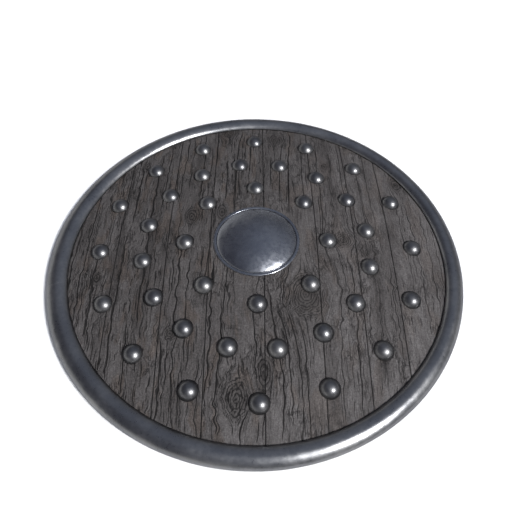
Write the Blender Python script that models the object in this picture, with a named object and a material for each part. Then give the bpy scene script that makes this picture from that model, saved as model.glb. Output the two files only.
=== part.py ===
# Round wooden shield with a rolled steel rim, a raised boss and three rings of domed nails.
# Units are metres and +Z is up. The shield lies on its rim with the bulging face up,
# the planks run along Y, and the origin is on the floor under the middle of the rim.

import math

import bmesh
import bpy
import numpy as np
from mathutils import Matrix, Vector

# Clearances
gap = 0.0003                # between pieces that lie against each other
nail_play = 0.0004          # between a nail's shank and its hole

# Fineness
weld = 0.00001              # points closer than this are one point
sharp_edge = math.radians(35)
slope_step = 0.001          # each way from a spot, to measure the board's slope there
lip_search_steps = 2000     # places tried for the rim's lips on a quarter of its section

# Rim, a steel strip rolled into a flattened tube round the edge of the board
rim_radius = 0.400
rim_width = 0.0386
rim_wall = 0.0018
rim_belly = 0.0147          # hollow height inside the tube that the board leaves free
rim_shoulder = 1.6          # power of the curve from the tube's crest to its outer edge; 2 is an ellipse
rim_foot = 0.008            # width of the flat on which the shield lies
rim_sides = 48

# Board, a shallow dish of planks laid edge to edge
board_shift = 0.004         # the board, boss and nails sit this far off the rim's middle
board_thickness = 0.009
board_seat = 0.0032         # front face above the rim's middle height, at the throat
board_rise = 0.0609         # front face at the middle above the front face at the throat
board_bow = 0.0005          # how far the front swells from a straight cone, half-way out
board_tuck = 0.0165         # how far the planks run into the rim past its throat
board_sides = 48
hand_hole_radius = 0.064
joint_shares = (-0.7145, -0.4499, -0.2329, 0.0370, 0.3017, 0.5028, 0.6880)   # of the board's radius
cutter_spare = 0.05         # by which a cutter outreaches the board

# Boss, a thin raised cap with a rolled lip
boss_radius = 0.0811
boss_lip_width = 0.0061
boss_cap_height = 0.020
boss_cap_foot = 0.0012      # foot of the cap above the board
boss_inner_foot = 0.0006    # foot of the cap's inside above the board
boss_lip_height = 0.0026
boss_lip_shape = ((0.30, 0.10), (0.60, 0), (1, 0.40))   # shares of its width out and of its height down
boss_wall = 0.002
boss_sides = 28

# Domed nails
nail_head_radius = 0.0182
nail_head_height = 0.0130
nail_head_sides = 10
nail_shank_radius = 0.003
nail_shank_sides = 6
nail_shank_twist = math.radians(7)
nail_plate_radius = 0.007
nail_plate_thickness = 0.0012
nail_plate_crown = 0.001    # hammered middle of the plate, beyond its edge
ring_a_margin = 0.055       # from the boss's edge to the inner ring's nails
ring_b_share = 0.6027       # radius of the middle ring, as a share of the rim's throat
ring_c_share = 0.8401       # radius of the outer ring, likewise
ring_a_count = 8
ring_b_count = 16
ring_c_count = 16
ring_a_turn = math.radians(0.78)    # by which each ring is turned from +Y
ring_b_turn = math.radians(9.40)
ring_c_turn = math.radians(0.84)
ring_shift = 0.0038         # the rings' middle sits this far off the board's, along the planks

# Grip, a wooden bar across the hand hole at the back
grip_length = 0.330
grip_arm_width = 0.034
grip_arm_thickness = 0.012
grip_handle_length = 0.100
grip_handle_width = 0.030
grip_handle_depth = 0.028
grip_chamfer = 0.004
grip_seat_chamfer = 0.001   # at the edges of the arms that lie on the board

# The dish of the board
throat_radius = rim_radius - rim_width
board_slope = math.atan(board_rise / throat_radius)
board_depth = board_thickness / math.cos(board_slope)
board_radius = throat_radius + board_tuck
plank_joints = [share * board_radius for share in joint_shares]

# The boss's cap and the rings of nails
boss_cap_radius = boss_radius - boss_lip_width
ring_a_radius = boss_radius + ring_a_margin
ring_b_radius = ring_b_share * throat_radius
ring_c_radius = ring_c_share * throat_radius

# The rim's section
rim_half_width = rim_width / 2
rim_half_height = board_depth / 2 + rim_wall + gap + rim_belly / 2
rim_centre_radius = rim_radius - rim_half_width
foot_angle = math.asin(rim_foot / 2 / rim_half_width)
rim_middle_height = rim_half_height * math.cos(foot_angle)


def front(radius):
    """Height of the board's front face, at a distance from the board's axis."""
    share = radius / throat_radius
    swell = 4 * board_bow * share * (1 - share)
    return rim_middle_height + board_seat + board_rise * (1 - share) + swell


def back(radius):
    """Height of the board's back face, at a distance from the board's axis."""
    return front(radius) - board_depth


def surface_frame(radius, angle):
    """Matrix of a spot on the board's front face, with its Z along the face's normal."""
    fall = front(radius - slope_step) - front(radius + slope_step)
    slope = math.atan(fall / (2 * slope_step))
    spot = Matrix.Translation((board_shift, 0, 0))
    turn = Matrix.Rotation(angle, 4, "Z")
    lean = Matrix.Rotation(slope, 4, "Y")
    return spot @ turn @ Matrix.Translation((radius, 0, front(radius))) @ lean


def material(name, color, roughness, metallic):
    """A Principled material with one colour."""
    made = bpy.data.materials.new(name)
    made.use_nodes = True
    shader = made.node_tree.nodes["Principled BSDF"]
    shader.inputs["Base Color"].default_value = (*color, 1)
    shader.inputs["Roughness"].default_value = roughness
    shader.inputs["Metallic"].default_value = metallic
    return made


def finish_mesh(bm, name):
    """Close the seams of a bmesh, point its faces outward and make it a smooth mesh."""
    bmesh.ops.remove_doubles(bm, verts=bm.verts, dist=weld)
    bmesh.ops.recalc_face_normals(bm, faces=bm.faces)
    mesh = bpy.data.meshes.new(name)
    bm.to_mesh(mesh)
    bm.free()
    mesh.shade_smooth()
    mesh.set_sharp_from_angle(angle=sharp_edge)
    return mesh


def add_object(name, mesh, finish=None):
    """Put a mesh in the scene under a name, with its material."""
    made = bpy.data.objects.new(name, mesh)
    bpy.context.scene.collection.objects.link(made)
    if finish:
        mesh.materials.clear()
        mesh.materials.append(finish)
    return made


def spin_profile(bm, profile, sides, closed):
    """Turn a profile of (radius, height) points about Z."""
    verts = [bm.verts.new((radius, 0, height)) for radius, height in profile]
    pairs = list(zip(verts, verts[1:]))
    if closed:
        pairs.append((verts[-1], verts[0]))
    edges = [bm.edges.new(pair) for pair in pairs]
    bmesh.ops.spin(
        bm, geom=verts + edges, axis=(0, 0, 1), cent=(0, 0, 0), angle=math.tau, steps=sides, use_merge=True
    )
    bmesh.ops.remove_doubles(bm, verts=bm.verts, dist=weld)


def cutter(name, mesh):
    """An object that only cuts others, drawn as wire and left out of renders."""
    made = add_object(name, mesh)
    made.hide_render = True
    made.display_type = "WIRE"
    return made


def boolean(target, tool, operation):
    """Cut a piece with a tool, or keep only what lies inside the tool."""
    modifier = target.modifiers.new(operation.lower(), "BOOLEAN")
    modifier.operation = operation
    modifier.object = tool
    modifier.solver = "EXACT"


def rim_point(angle, half_width, half_height):
    """A point of the tube's section, an ellipse whose outer shoulder falls sooner from the crest."""
    out = -math.cos(angle)
    up = math.sin(angle)
    if out > 0 and up > 0:
        up = (1 - out ** rim_shoulder) ** (1 / rim_shoulder)
    return rim_centre_radius + half_width * out, rim_middle_height + half_height * up


def rim_section():
    """The rolled strip's outer and inner line from lip to lip, as (radius, height) points."""
    inner_half_width = rim_half_width - rim_wall
    inner_half_height = rim_half_height - rim_wall
    angles = np.linspace(0, math.pi / 2, lip_search_steps)
    radii = rim_centre_radius - inner_half_width * np.cos(angles)
    rise = inner_half_height * np.sin(angles)
    clears_front = rim_middle_height + rise >= front(radii) + gap
    clears_back = rim_middle_height - rise <= back(radii) - gap
    top_lip = angles[np.argmax(clears_front)]
    bottom_lip = math.tau - angles[np.argmax(clears_back)]
    outer = np.concatenate((
        np.linspace(top_lip, math.pi, 6),
        np.linspace(math.pi, 1.5 * math.pi - foot_angle, 4)[1:],
        np.linspace(1.5 * math.pi + foot_angle, bottom_lip, 3),
    ))
    inner = np.linspace(bottom_lip, top_lip, 8)
    outer_points = [rim_point(angle, rim_half_width, rim_half_height) for angle in outer]
    inner_points = [rim_point(angle, inner_half_width, inner_half_height) for angle in inner]
    return outer_points, inner_points


def make_rim(finish):
    """The rim, round outside, with its two lips following the shifted board."""
    outer_points, inner_points = rim_section()
    lips = (outer_points[0], outer_points[-1], inner_points[0], inner_points[-1])
    lip_radius = max(radius for radius, _ in lips)
    bm = bmesh.new()
    spin_profile(bm, outer_points + inner_points, rim_sides, closed=True)
    for vert in bm.verts:
        radius = math.hypot(vert.co.x, vert.co.y)
        inward = min(1, (rim_radius - radius) / (rim_radius - lip_radius))
        vert.co.x += board_shift * inward
    return add_object("rim", finish_mesh(bm, "rim"), finish)


def nail_place(ring_radius, count, turn, index):
    """Frame of one nail on the board, counted anticlockwise from +Y."""
    angle = math.pi / 2 + turn + math.tau * index / count
    across = ring_radius * math.cos(angle)
    along = ring_radius * math.sin(angle) + ring_shift
    return surface_frame(math.hypot(across, along), math.atan2(along, across))


def nail_is_in_grip(ring_radius, place):
    """True for a nail of the inner ring that goes through one of the grip's arms."""
    across = abs(place.translation.y)
    along = abs(place.translation.x - board_shift)
    return across < grip_arm_width / 4 and along + nail_plate_radius < grip_length / 2


def nail_length(in_grip):
    """How far the shank reaches below the head: through the board, or the board and the grip."""
    length = board_thickness + 2 * gap
    if in_grip:
        length += grip_arm_thickness + gap
    return length


def add_ring(bm, radius, height, sides, twist=0):
    """A ring of points about Z, or the one point of a pole."""
    if radius < weld:
        return [bm.verts.new((0, 0, height))]
    angles = [twist + math.tau * side / sides for side in range(sides)]
    return [bm.verts.new((radius * math.cos(a), radius * math.sin(a), height)) for a in angles]


def join_rings(bm, first, second):
    """Join two rings, which may have different numbers of points, with a strip of triangles."""
    first_steps = len(first) if len(first) > 1 else 0
    second_steps = len(second) if len(second) > 1 else 0
    along_first = 0
    along_second = 0
    while along_first < first_steps or along_second < second_steps:
        corners = (first[along_first % len(first)], second[along_second % len(second)])
        first_is_behind = (along_first + 1) * second_steps <= (along_second + 1) * first_steps
        if along_second == second_steps or (along_first < first_steps and first_is_behind):
            along_first += 1
            third = first[along_first % len(first)]
        else:
            along_second += 1
            third = second[along_second % len(second)]
        bm.faces.new((*corners, third))


def make_nail_mesh(length, finish):
    """A domed head, a shank and a small plate, with the head's flat underside at height 0."""
    sphere = (nail_head_radius ** 2 + nail_head_height ** 2) / (2 * nail_head_height)
    half_arc = math.asin(min(1, nail_head_radius / sphere))
    if nail_head_height > nail_head_radius:
        half_arc = math.pi - half_arc
    crown = nail_head_height - sphere
    bm = bmesh.new()
    rings = [
        add_ring(bm, sphere * math.sin(a), crown + sphere * math.cos(a), nail_head_sides)
        for a in np.linspace(0, half_arc, 4)
    ]
    plate_edge = -length - nail_plate_thickness
    shank_levels = (
        (nail_shank_radius, 0),
        (nail_shank_radius, -length),
        (nail_plate_radius, -length),
        (nail_plate_radius, plate_edge),
        (0, plate_edge - nail_plate_crown),
    )
    for radius, height in shank_levels:
        rings.append(add_ring(bm, radius, height, nail_shank_sides, nail_shank_twist))
    for first, second in zip(rings, rings[1:]):
        join_rings(bm, first, second)
    mesh = finish_mesh(bm, "nail")
    mesh.materials.append(finish)
    return mesh


def add_drill(bm, place, length):
    """A straight cutter for one nail's hole, longer than the shank at both ends."""
    radius = nail_shank_radius + nail_play
    levels = (nail_head_height, -length - nail_head_height)
    ends = [add_ring(bm, radius, level, nail_shank_sides, nail_shank_twist) for level in levels]
    join_rings(bm, *ends)
    for ring in ends:
        bm.faces.new(ring)
    bmesh.ops.transform(bm, verts=ends[0] + ends[1], matrix=place)


def make_nails(finish):
    """Three rings of nails, and one cutter with a hole for each of them."""
    meshes = {in_grip: make_nail_mesh(nail_length(in_grip), finish) for in_grip in (False, True)}
    holes = bmesh.new()
    rings = (
        ("a", ring_a_radius, ring_a_count, ring_a_turn),
        ("b", ring_b_radius, ring_b_count, ring_b_turn),
        ("c", ring_c_radius, ring_c_count, ring_c_turn),
    )
    for letter, ring_radius, count, turn in rings:
        for index in range(count):
            place = nail_place(ring_radius, count, turn, index)
            in_grip = nail_is_in_grip(ring_radius, place)
            nail = add_object(f"stud_{letter}{index + 1}", meshes[in_grip])
            nail.matrix_world = place @ Matrix.Translation((0, 0, gap))
            add_drill(holes, place, nail_length(in_grip))
    return cutter("nail_holes", finish_mesh(holes, "nail_holes"))


def make_board_mesh():
    """The whole dished board as one ring round the hand hole."""
    radii = np.linspace(hand_hole_radius, board_radius, 3)
    profile = [(r, back(r)) for r in radii] + [(r, front(r)) for r in reversed(radii)]
    bm = bmesh.new()
    spin_profile(bm, profile, board_sides, closed=True)
    bmesh.ops.translate(bm, verts=bm.verts, vec=(board_shift, 0, 0))
    return finish_mesh(bm, "board")


def make_planks(holes, finish):
    """The board parted at its joints, each plank drilled for its nails."""
    board = make_board_mesh()
    board.materials.append(finish)
    reach = board_radius + cutter_spare
    edges = (-reach, *plank_joints, reach)
    for index, (left, right) in enumerate(zip(edges, edges[1:])):
        low = Vector((board_shift + left + gap / 2, -reach, -reach))
        high = Vector((board_shift + right - gap / 2, reach, reach))
        bm = bmesh.new()
        bmesh.ops.create_cube(bm, size=1)
        bmesh.ops.scale(bm, verts=bm.verts, vec=high - low)
        bmesh.ops.translate(bm, verts=bm.verts, vec=(low + high) / 2)
        width = cutter(f"plank_width_{index + 1}", finish_mesh(bm, "plank_width"))
        plank = add_object(f"plank_{index + 1}", board)
        boolean(plank, holes, "DIFFERENCE")
        boolean(plank, width, "INTERSECT")


def boss_profile():
    """Outline of the raised cap: down over the dome and the rolled lip, back up inside."""
    sphere = (boss_cap_radius ** 2 + boss_cap_height ** 2) / (2 * boss_cap_height)
    cap_foot = front(boss_cap_radius) + gap + boss_cap_foot
    apex = cap_foot + boss_cap_height

    def dome(radius, size, top):
        return top - size + math.sqrt(size ** 2 - radius ** 2)

    seat_inner = boss_cap_radius - boss_wall
    lip_top = front(boss_radius) + gap + boss_lip_height
    profile = [(r, dome(r, sphere, apex)) for r in np.linspace(0, boss_cap_radius, 5)]
    profile += [
        (boss_cap_radius + out * boss_lip_width, lip_top - down * boss_lip_height)
        for out, down in boss_lip_shape
    ]
    profile += [
        (boss_radius, front(boss_radius) + gap),
        (seat_inner, front(seat_inner) + gap),
    ]
    inner_apex = apex - boss_wall
    inner_foot = front(seat_inner) + gap + boss_inner_foot
    inner_height = inner_apex - inner_foot
    inner_sphere = (seat_inner ** 2 + inner_height ** 2) / (2 * inner_height)
    profile += [(r, dome(r, inner_sphere, inner_apex)) for r in np.linspace(seat_inner, 0, 4)]
    return profile


def make_boss(finish):
    """The boss, turned about the board's axis."""
    bm = bmesh.new()
    spin_profile(bm, boss_profile(), boss_sides, closed=False)
    bmesh.ops.translate(bm, verts=bm.verts, vec=(board_shift, 0, 0))
    return add_object("boss", finish_mesh(bm, "boss"), finish)


def grip_section(along):
    """Eight points of the grip's section at a distance from its middle."""
    arm_start = max(hand_hole_radius, grip_handle_length / 2 + grip_chamfer)
    ramp = (abs(along) - grip_handle_length / 2) / (arm_start + grip_arm_width / 2 - grip_handle_length / 2)
    ramp = min(1, max(0, ramp))
    blend = ramp * ramp * (3 - 2 * ramp)
    half = (grip_handle_width + (grip_arm_width - grip_handle_width) * blend) / 2
    arm_drop = grip_arm_thickness / math.cos(board_slope)
    depth = grip_handle_depth + (arm_drop - grip_handle_depth) * blend
    seat = math.hypot(max(abs(along), hand_hole_radius), half)
    top = back(seat) - gap
    bottom = top - depth
    upper_cut = grip_chamfer + (grip_seat_chamfer - grip_chamfer) * blend
    lower_cut = grip_chamfer
    outline = (
        (-half, bottom + lower_cut),
        (-half + lower_cut, bottom),
        (half - lower_cut, bottom),
        (half, bottom + lower_cut),
        (half, top - upper_cut),
        (half - upper_cut, top),
        (-half + upper_cut, top),
        (-half, top - upper_cut),
    )
    return [(board_shift + along, across, height) for across, height in outline]


def make_grip(holes, finish):
    """The grip, a row of sections bridged from end to end."""
    half_length = grip_length / 2
    arm = np.linspace(hand_hole_radius, half_length, 4)
    handle = np.linspace(0, hand_hole_radius, 4)[:-1]
    right = np.concatenate((handle, arm))
    stations = np.concatenate((-right[:0:-1], right))
    bm = bmesh.new()
    rings = [[bm.verts.new(point) for point in grip_section(along)] for along in stations]
    for first, second in zip(rings, rings[1:]):
        for corner in range(len(first)):
            after = (corner + 1) % len(first)
            bm.faces.new((first[corner], first[after], second[after], second[corner]))
    bm.faces.new(rings[0])
    bm.faces.new(rings[-1])
    grip = add_object("grip", finish_mesh(bm, "grip"), finish)
    boolean(grip, holes, "DIFFERENCE")


def main():
    for old in list(bpy.data.objects):
        bpy.data.objects.remove(old, do_unlink=True)
    steel = material("dark_steel", (0.16, 0.17, 0.20), 0.35, 1)
    wood = material("weathered_wood", (0.10, 0.085, 0.075), 0.8, 0)
    grip_wood = material("grip_wood", (0.14, 0.10, 0.07), 0.7, 0)
    make_rim(steel)
    make_boss(steel)
    nail_holes = make_nails(steel)
    make_planks(nail_holes, wood)
    make_grip(nail_holes, grip_wood)


main()
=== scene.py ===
# %% [markdown]
# # A round wooden shield with a rolled steel rim
#
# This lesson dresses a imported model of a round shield. The shield lies on its rim with the
# bulging face up. Eight old planks make the dish, a rolled strip of steel goes round their
# edge, a thin steel cap sits over the hand hole, and forty domed nails hold the planks.
#
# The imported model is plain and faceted. Each of its solids is stood for by a finer piece
# that is worked out with numpy, and that lies exactly where the solid lies.

# %% Load the frame
import math

import bmesh
import bpy
import numpy as np
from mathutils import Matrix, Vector


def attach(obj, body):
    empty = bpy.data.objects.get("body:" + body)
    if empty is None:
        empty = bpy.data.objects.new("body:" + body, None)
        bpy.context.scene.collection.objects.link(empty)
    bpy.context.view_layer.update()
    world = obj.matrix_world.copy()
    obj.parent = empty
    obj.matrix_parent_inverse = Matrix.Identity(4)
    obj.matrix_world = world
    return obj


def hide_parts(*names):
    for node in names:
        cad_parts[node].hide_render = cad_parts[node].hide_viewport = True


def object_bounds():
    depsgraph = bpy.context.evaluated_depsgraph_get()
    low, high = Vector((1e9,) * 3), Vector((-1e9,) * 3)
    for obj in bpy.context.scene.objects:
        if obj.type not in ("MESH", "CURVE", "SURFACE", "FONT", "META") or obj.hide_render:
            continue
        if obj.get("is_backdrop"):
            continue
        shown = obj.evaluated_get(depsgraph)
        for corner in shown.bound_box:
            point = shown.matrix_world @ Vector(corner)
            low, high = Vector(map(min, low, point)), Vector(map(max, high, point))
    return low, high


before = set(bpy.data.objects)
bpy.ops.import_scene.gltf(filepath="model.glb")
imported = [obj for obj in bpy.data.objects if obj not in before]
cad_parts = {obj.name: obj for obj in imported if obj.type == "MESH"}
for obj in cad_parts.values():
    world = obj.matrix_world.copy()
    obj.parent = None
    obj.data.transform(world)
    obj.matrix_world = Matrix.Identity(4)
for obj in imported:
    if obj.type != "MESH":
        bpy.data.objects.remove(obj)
cad_low, cad_high = (list(corner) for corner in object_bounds())
print("CAD box", [round(v, 4) for v in cad_low], [round(v, 4) for v in cad_high])

# %% [markdown]
# ## The shield's sizes
#
# All pieces share a few sizes, in metres. The board is a shallow dish: its front face falls
# almost in a straight line from the middle to the throat of the rim. The board, the cap
# and the nails sit a few millimetres to one side of the rim's middle, as on the real one.

# %% Sizes
gap = 0.0003
rim_radius = (cad_high[0] - cad_low[0]) / 2
rim_width = 0.0386
rim_wall = 0.0018
rim_belly = 0.0147
rim_foot = 0.008
board_shift = 0.004
board_thickness = 0.009
board_seat = 0.0032
board_rise = 0.0609
board_bow = 0.0005
board_tuck = 0.0165
hand_hole_radius = 0.064

throat_radius = rim_radius - rim_width
board_radius = throat_radius + board_tuck
board_slope = math.atan(board_rise / throat_radius)
board_depth = board_thickness / math.cos(board_slope)
rim_half_width = rim_width / 2
rim_half_height = board_depth / 2 + rim_wall + gap + rim_belly / 2
rim_centre_radius = rim_radius - rim_half_width
foot_angle = math.asin(rim_foot / 2 / rim_half_width)
rim_middle_height = rim_half_height * math.cos(foot_angle)


def front_height(radius):
    """Height of the board's front: a straight fall from the middle to the throat, plus a slight swell."""
    share = radius / throat_radius
    return rim_middle_height + board_seat + board_rise * (1 - share) + 4 * board_bow * share * (1 - share)


for spot, radius in (("the middle", 0), ("the throat", throat_radius)):
    print("front height at", spot, round(front_height(radius), 4))

# %% [markdown]
# ## The camera
#
# The photograph looks down at the shield at 55 degrees. The lens and the place were worked
# out from the outline of the rim and the rings of nails. The camera comes first, so that
# every later piece can be judged in the same view.

# %% Camera
camera_place = (0.0030, -0.5744, 0.8329)
camera_dip = math.radians(55.0)
camera_lens = 35.78
camera_data = bpy.data.cameras.new("camera")
camera_data.sensor_width = 36
camera_data.lens = camera_lens
camera = bpy.data.objects.new("camera", camera_data)
camera.location = camera_place
camera.rotation_euler = (math.pi / 2 - camera_dip, 0, 0)
bpy.context.scene.collection.objects.link(camera)
bpy.context.scene.camera = camera
print("camera", camera_place, "dips", round(math.degrees(camera_dip), 1), "degrees")

# %% [markdown]
# ## Noise on arrays
#
# Old wood and hand-worked steel are uneven. Blender has noise nodes for a material, but a
# shape in numpy needs its own. Value noise is the simplest kind: random numbers on a grid
# of whole coordinates, joined by smooth steps. It works on whole arrays at once, and a
# fixed seed gives the same surface on each run.

# %% Noise
noise_cells = 256
noise_tables = {}


def noise(x, y, seed):
    """Value noise from -1 to 1: random numbers at whole x and y, joined by smooth steps along both."""
    if seed not in noise_tables:
        noise_tables[seed] = np.random.default_rng(seed).uniform(-1, 1, (noise_cells, noise_cells))
    table = noise_tables[seed]
    x, y = np.broadcast_arrays(x, y)
    column, row = np.floor(x).astype(int), np.floor(y).astype(int)
    across, along = x - column, y - row
    across, along = across * across * (3 - 2 * across), along * along * (3 - 2 * along)
    left, right = column % noise_cells, (column + 1) % noise_cells
    low, high = row % noise_cells, (row + 1) % noise_cells
    near = table[left, low] * (1 - across) + table[right, low] * across
    far = table[left, high] * (1 - across) + table[right, high] * across
    return near * (1 - along) + far * along


def smooth_step(value, start, end):
    """0 before start and 1 after end, with a smooth S between them."""
    share = np.clip((value - start) / (end - start), 0, 1)
    return share * share * (3 - 2 * share)


print("noise at three places", noise(np.array([0.2, 1.7, 9.1]), 0.5, 1).round(3))

# %% [markdown]
# ## From a grid of points to a mesh
#
# Each surface here is a grid: rows and columns of points. Blender wants a list of points
# and a list of faces, and on a grid each face joins a point with its neighbours in the
# next row and the next column. A ring closes the grid by joining the last row to the first.

# %% Mesh helpers
double_distance = 1e-6


def grid_faces(rows, columns, rows_wrap=False, columns_wrap=False, start=0):
    """Four-sided faces of a grid, each from a point, its right neighbour and the two in the next row."""
    numbers = start + np.arange(rows * columns).reshape(rows, columns)
    if rows_wrap:
        numbers = np.vstack((numbers, numbers[:1]))
    if columns_wrap:
        numbers = np.hstack((numbers, numbers[:, :1]))
    corners = (numbers[:-1, :-1], numbers[:-1, 1:], numbers[1:, 1:], numbers[1:, :-1])
    return np.stack(corners, axis=-1).reshape(-1, 4)


def make_piece(name, points, faces, tidy=True):
    """A mesh object at the origin from points and faces. Tidying merges doubles and turns faces out."""
    mesh = bpy.data.meshes.new(name)
    mesh.from_pydata(points.tolist(), [], faces if isinstance(faces, list) else faces.tolist())
    if tidy:
        work = bmesh.new()
        work.from_mesh(mesh)
        bmesh.ops.remove_doubles(work, verts=work.verts, dist=double_distance)
        bmesh.ops.recalc_face_normals(work, faces=work.faces)
        work.to_mesh(mesh)
        work.free()
    mesh.update()
    mesh.shade_smooth()
    piece = bpy.data.objects.new(name, mesh)
    bpy.context.scene.collection.objects.link(piece)
    return piece


def give(piece, finish, slot, *nodes):
    """Finish a piece: its material, its body and the solids it stands for; the slot is not used."""
    piece.data.materials.clear()
    piece.data.materials.append(finish)
    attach(piece, "root")
    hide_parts(*nodes)


# %% [markdown]
# ## Shader maths as Python
#
# A material is a graph of nodes, and maths on nodes is hard to read. Wrapping a socket in a
# small class lets Python's own signs add the Math nodes, so that a formula stays a formula.
# Any other node comes from one method that takes its type, its settings and its inputs, and
# the nodes that are used often have short names of their own.

# %% Socket class
class Value:
    """One output socket of a material's graph, on which +, - and * add Math nodes."""

    def __init__(self, tree, socket):
        self.tree = tree
        self.socket = socket

    def node(self, kind, settings=None, output=0, **inputs):
        """Add a node of that type, set its settings, then feed its sockets, named with _ for a space."""
        made = self.tree.nodes.new(kind)
        for key, setting in (settings or {}).items():
            if key == "stops":
                fill_ramp(made.color_ramp, setting)
            else:
                setattr(made, key, setting)
        for key, given in inputs.items():
            place = int(key[1:]) if key[1:].isdigit() else key.replace("_", " ")
            feed(self.tree, made.inputs[place], given)
        return Value(self.tree, made.outputs[output])

    def math(self, operation, first, second=0.0):
        """One Math node on two inputs, each a value or a number."""
        return self.node("ShaderNodeMath", {"operation": operation}, i0=first, i1=second)

    def __add__(self, other):
        return self.math("ADD", self, other)

    def __sub__(self, other):
        return self.math("SUBTRACT", self, other)

    def __rsub__(self, other):
        return self.math("SUBTRACT", other, self)

    def __mul__(self, other):
        return self.math("MULTIPLY", self, other)

    __radd__, __rmul__ = __add__, __mul__

    def __abs__(self):
        return self.math("ABSOLUTE", self)

    def between(self, start, end, low=0.0, high=1.0):
        """Map this value from start..end to low..high with a smooth S, and hold it there."""
        return self.node(
            "ShaderNodeMapRange", {"interpolation_type": "SMOOTHSTEP"},
            Value=self, From_Min=start, From_Max=end, To_Min=low, To_Max=high,
        )

    def mix(self, first, second, blend="MIX"):
        """Colour mix: the first where this value is 0, the second, or their blend, where it is 1."""
        settings = {"data_type": "RGBA", "clamp_factor": True, "blend_type": blend}
        return self.node("ShaderNodeMix", settings, output=2, i0=self, i6=first, i7=second)

    def axis(self, number):
        """One of the three parts of this vector."""
        return self.node("ShaderNodeSeparateXYZ", output=number, Vector=self)

    def stretched(self, *sizes):
        """This place with each axis multiplied by its own number."""
        return self.node("ShaderNodeVectorMath", {"operation": "MULTIPLY"}, i0=self, i1=sizes)

    def cloud(self, scale, detail=2.0, roughness=0.5, sides="3D"):
        """Noise read at this place, about 0.5 on the whole."""
        return self.node("ShaderNodeTexNoise", {"noise_dimensions": sides},
                         Vector=self, Scale=scale, Detail=detail, Roughness=roughness)

    def ramp(self, *stops):
        """The colour that the ramp has at this value."""
        return self.node("ShaderNodeValToRGB", {"stops": stops}, Fac=self)

    def bump(self, distance, strength=1.0, **under):
        """A normal bent by this value as a height, where 1 stands for the distance in metres."""
        return self.node("ShaderNodeBump", Height=self, Strength=strength, Distance=distance, **under)


def feed(tree, socket, given):
    """Link a value into a socket, or set the socket to a number or a colour."""
    if isinstance(given, Value):
        tree.links.new(given.socket, socket)
    elif isinstance(given, tuple) and len(given) == 3 and len(socket.default_value) == 4:
        socket.default_value = (*given, 1)
    else:
        socket.default_value = given


def fill_ramp(ramp, stops):
    """Set the stops of a colour ramp from pairs of place and colour."""
    while len(ramp.elements) > len(stops):
        ramp.elements.remove(ramp.elements[-1])
    while len(ramp.elements) < len(stops):
        ramp.elements.new(1)
    for element, (place, color) in zip(ramp.elements, stops):
        element.position = place
        element.color = (*color, 1)


def paint(made, **looks):
    """Feed a material's Principled shader, whose sockets are named with _ for a space."""
    shader = made.node_tree.nodes["Principled BSDF"]
    for key, given in looks.items():
        feed(made.node_tree, shader.inputs[key.replace("_", " ")], given)
    return made


def new_material(name, **constants):
    """A Principled material, and a value to start formulas from: the place on the piece."""
    made = bpy.data.materials.new(name)
    made.use_nodes = True
    paint(made, **constants)
    coordinates = made.node_tree.nodes.new("ShaderNodeTexCoord")
    return made, Value(made.node_tree, coordinates.outputs["Object"])


# %% [markdown]
# ## Steel
#
# The rim, the cap and the nails are the same dark, bluish steel. It is worn smooth by hands,
# so its lights are broad and soft. Slow patches vary the colour and the gloss, small dark
# pits sit in it, and a faint unevenness from the hammer bends the reflections.

# %% Steel
steel_edge_tint = (0.42, 0.42, 0.44)
steel_grain_height = 0.00006


def make_steel(name, dark, light, shine, dent_size, dent_depth):
    """Dark bluish steel: two tones mixed by slow noise, specks, uneven gloss and hammered unevenness."""
    made, place = new_material(name, Metallic=1.0, Specular_Tint=steel_edge_tint)
    slow, fine = place.cloud(14.0, 4.0, 0.6), place.cloud(170.0, 5.0, 0.65)
    specks, dents = place.cloud(520.0, 3.0, 0.7), place.cloud(1 / dent_size, 1.5, 0.45)
    patch = (slow * 0.7 + fine * 0.3).between(0.36, 0.64)
    pits = specks.between(0.60, 0.74)
    tone = (pits * 0.55).mix(patch.mix(dark, light), tuple(0.45 * part for part in dark))
    gloss = shine + (fine - 0.5) * 0.22 + (slow - 0.5) * 0.16 + pits * 0.15
    grain = (fine * 0.7 + specks * 0.3).bump(steel_grain_height, Normal=dents.bump(dent_depth))
    return paint(made, Base_Color=tone, Roughness=gloss, Normal=grain)


# Each finish: dark and light tone, roughness, size and depth of the hammer's dents.
rim_steel = make_steel("rim_steel", (0.192, 0.194, 0.203), (0.266, 0.266, 0.269), 0.32, 0.03, 0.0008)
boss_steel = make_steel("boss_steel", (0.205, 0.213, 0.238), (0.290, 0.297, 0.318), 0.28, 0.016, 0.0004)
nail_steel = make_steel("nail_steel", (0.130, 0.130, 0.137), (0.188, 0.186, 0.187), 0.37, 0.012, 0.0002)
print("steel finishes", rim_steel.name, boss_steel.name, nail_steel.name)

# %% [markdown]
# ## The rolled rim
#
# The rim is a strip of sheet steel bent round the edge of the planks, like a flattened pipe
# with a slot in its inner side. Its section is a closed line: along the outside from one
# lip to the other, round the lip, and back along the inside. Carried round a circle, it
# becomes a grid that closes both ways. The tube lies on a narrow flat foot. A shallow notch
# across it marks where the two ends of the strip meet.

# %% Rim section
outer_steps, lip_steps, inner_steps, rim_steps = 36, 5, 24, 576
rim_shoulder = 1.6


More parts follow.
